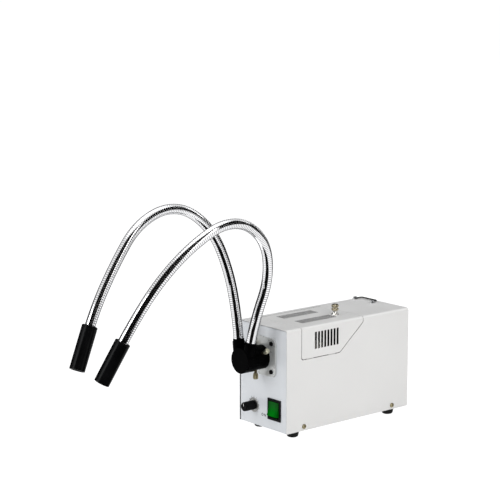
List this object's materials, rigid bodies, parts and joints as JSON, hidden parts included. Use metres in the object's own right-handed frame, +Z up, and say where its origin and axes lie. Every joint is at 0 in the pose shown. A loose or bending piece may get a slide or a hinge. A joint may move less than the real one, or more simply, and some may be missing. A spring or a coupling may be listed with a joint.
{
  "type": "fiber optic illuminator",
  "caption": "Cold light source for a bench: a sheet-metal lamp house with a dimmer, a rocker switch and a clamped light guide on self-supporting gooseneck arms.",
  "frame": {"origin": "on the surface it stands on, under the middle of the lamp house", "axes": "+X to the right side with the lamp door, +Y to the back with the fan, +Z up; the controls and the light port face -Y"},
  "size_m": [0.1174, 0.5505, 0.3363],
  "materials": {
    "cover_paint": "fine satin powder coat",
    "panel_paint": "smooth satin paint, a little cooler than the cover",
    "port_paint": "satin grey plate",
    "zinc_sheet": "bright zinc-plated sheet",
    "nickel": "bright nickel",
    "warm_nickel": "champagne plated",
    "brass": "bare brass",
    "foot_rubber": "matt black rubber",
    "black_metal": "gloss black anodised",
    "black_plastic": "moulded black plastic",
    "green_rocker": "glossy translucent green",
    "hose_chrome": "polished interlocked metal hose",
    "fibre_glass": "polished fibre ends",
    "clear_glass": "clear glass",
    "mirror_coat": "coated reflector",
    "ceramic": "white steatite",
    "core_steel": "varnished laminations",
    "winding_tape": "amber tape over copper wire",
    "board_green": "solder resist",
    "board_dark": "moulded component cases",
    "handle_wire": "plain steel wire"
  },
  "bodies": {
    "root": {"base_chassis": "zinc_sheet", "front_panel": "panel_paint", "rear_panel": "panel_paint", "housing_cover": "cover_paint", "cover_screws": "warm_nickel", "rubber_feet": "foot_rubber", "foot_screws": "nickel", "port_flange": "port_paint", "flange_screws": "black_metal", "port_collar": "black_metal", "switch_bezel": "black_plastic", "dimmer_pot": "black_plastic", "dial_ring": "nickel", "power_inlet": "black_plastic", "inlet_pins": "brass", "fan_frame": "black_plastic", "fan_guard": "nickel", "fan_screws": "nickel", "handle_ears": "zinc_sheet", "heat_shield": "zinc_sheet", "lamp_bracket": "zinc_sheet", "lamp_reflector": "mirror_coat", "lamp_capsule": "clear_glass", "lamp_socket": "ceramic", "heat_filter": "clear_glass", "transformer_core": "core_steel", "transformer_winding": "winding_tape", "circuit_board": "board_green", "board_parts": "board_dark"},
    "door": {"lamp_door": "cover_paint", "door_post": "nickel"},
    "door_knob": {"door_screw": "warm_nickel"},
    "stud_lower": {"clamp_stud_lower": "brass"},
    "stud_right": {"clamp_stud_right": "brass"},
    "stud_left": {"clamp_stud_left": "brass"},
    "clamp_lower": {"clamp_head_lower": "warm_nickel"},
    "clamp_right": {"clamp_head_right": "warm_nickel"},
    "clamp_left": {"clamp_head_left": "warm_nickel"},
    "guide": {"ferrule": "nickel", "fibre_bundle": "fibre_glass"},
    "splitter": {"splitter_block": "black_metal", "hose_sleeves": "black_metal", "left_hose_root": "hose_chrome", "right_hose_root": "hose_chrome"},
    "left_rise": {"left_hose_rise": "hose_chrome"},
    "left_arch": {"left_hose_arch": "hose_chrome"},
    "left_tip": {"left_hose_end": "hose_chrome", "left_head": "black_metal", "left_fibre_tip": "fibre_glass"},
    "right_rise": {"right_hose_rise": "hose_chrome"},
    "right_arch": {"right_hose_arch": "hose_chrome"},
    "right_tip": {"right_hose_end": "hose_chrome", "right_head": "black_metal", "right_fibre_tip": "fibre_glass"},
    "switch_rocker": {"rocker": "green_rocker"},
    "dimmer": {"dimmer_knob": "black_plastic"},
    "fan": {"fan_rotor": "black_plastic"},
    "fuse": {"fuse_drawer": "black_plastic"},
    "handle": {"handle_bail": "handle_wire"}
  },
  "joints": [
    {"name": "door_lift", "type": "slide", "parent": "root", "child": "door", "axis": [0, 0, 1], "range_m": [0, 0.06]},
    {"name": "door_screw_turn", "type": "hinge", "parent": "door", "child": "door_knob", "pos_m": [0.016, 0.004, 0.1575], "axis": [0, 0, 1], "range_deg": [0, 1080]},
    {"name": "clamp_lower_travel", "type": "slide", "parent": "root", "child": "stud_lower", "axis": [0, 0, -1], "range_m": [0, 0.0021]},
    {"name": "clamp_lower_turn", "type": "hinge", "parent": "stud_lower", "child": "clamp_lower", "pos_m": [0, -0.1312, 0.1125], "axis": [0, 0, -1], "range_deg": [0, 1080]},
    {"name": "clamp_right_travel", "type": "slide", "parent": "root", "child": "stud_right", "axis": [0.866, 0, 0.5], "range_m": [0, 0.0021]},
    {"name": "clamp_right_turn", "type": "hinge", "parent": "stud_right", "child": "clamp_right", "pos_m": [0, -0.1312, 0.1125], "axis": [0.866, 0, 0.5], "range_deg": [0, 1080]},
    {"name": "clamp_left_travel", "type": "slide", "parent": "root", "child": "stud_left", "axis": [-0.866, 0, 0.5], "range_m": [0, 0.0021]},
    {"name": "clamp_left_turn", "type": "hinge", "parent": "stud_left", "child": "clamp_left", "pos_m": [0, -0.1312, 0.1125], "axis": [-0.866, 0, 0.5], "range_deg": [0, 1080]},
    {"name": "guide_pull", "type": "slide", "parent": "root", "child": "guide", "axis": [0, -1, 0], "range_m": [0, 0.04]},
    {"name": "guide_swivel", "type": "hinge", "parent": "guide", "child": "splitter", "pos_m": [0, -0.142, 0.1125], "axis": [0, 1, 0], "range_deg": [-30, 30]},
    {"name": "left_swing", "type": "hinge", "parent": "splitter", "child": "left_rise", "pos_m": [-0.01663, -0.15167, 0.17031], "axis": [0.0067, -0.9979, -0.064], "range_deg": [-12, 20]},
    {"name": "left_lift", "type": "hinge", "parent": "left_rise", "child": "left_arch", "pos_m": [-0.02584, -0.16844, 0.25793], "axis": [0.9945, 0, 0.1045], "range_deg": [-20, 20]},
    {"name": "left_aim", "type": "hinge", "parent": "left_arch", "child": "left_tip", "pos_m": [-0.02441, -0.36451, 0.24433], "axis": [0.9945, 0, 0.1045], "range_deg": [-25, 25]},
    {"name": "right_swing", "type": "hinge", "parent": "splitter", "child": "right_rise", "pos_m": [0.02075, -0.14925, 0.16956], "axis": [-0.0233, 0.9953, -0.0936], "range_deg": [-12, 20]},
    {"name": "right_lift", "type": "hinge", "parent": "right_rise", "child": "right_arch", "pos_m": [0.04228, -0.14578, 0.25592], "axis": [0.9703, 0, -0.2419], "range_deg": [-20, 20]},
    {"name": "right_aim", "type": "hinge", "parent": "right_arch", "child": "right_tip", "pos_m": [0.03498, -0.34381, 0.22666], "axis": [0.9703, 0, -0.2419], "range_deg": [-25, 25]},
    {"name": "switch_rock", "type": "hinge", "parent": "root", "child": "switch_rocker", "pos_m": [0.0245, -0.1127, 0.0402], "axis": [1, 0, 0], "range_deg": [0, 20]},
    {"name": "dimmer_turn", "type": "hinge", "parent": "root", "child": "dimmer", "pos_m": [-0.02, -0.1172, 0.0385], "axis": [0, 1, 0], "range_deg": [0, 270]},
    {"name": "fan_spin", "type": "hinge", "parent": "root", "child": "fan", "pos_m": [0, 0.1, 0.1125], "axis": [0, 1, 0], "continuous": true},
    {"name": "fuse_pull", "type": "slide", "parent": "root", "child": "fuse", "axis": [0, 1, 0], "range_m": [0, 0.02]},
    {"name": "handle_fold", "type": "hinge", "parent": "root", "child": "handle", "pos_m": [-0.025, 0.1, 0.1594], "axis": [1, 0, 0], "range_deg": [0, 170]}
  ],
  "couplings": [
    {"joint": "clamp_lower_turn", "follows": "clamp_lower_travel", "rad_per_m": 8976},
    {"joint": "clamp_right_turn", "follows": "clamp_right_travel", "rad_per_m": 8976},
    {"joint": "clamp_left_turn", "follows": "clamp_left_travel", "rad_per_m": 8976}
  ]
}
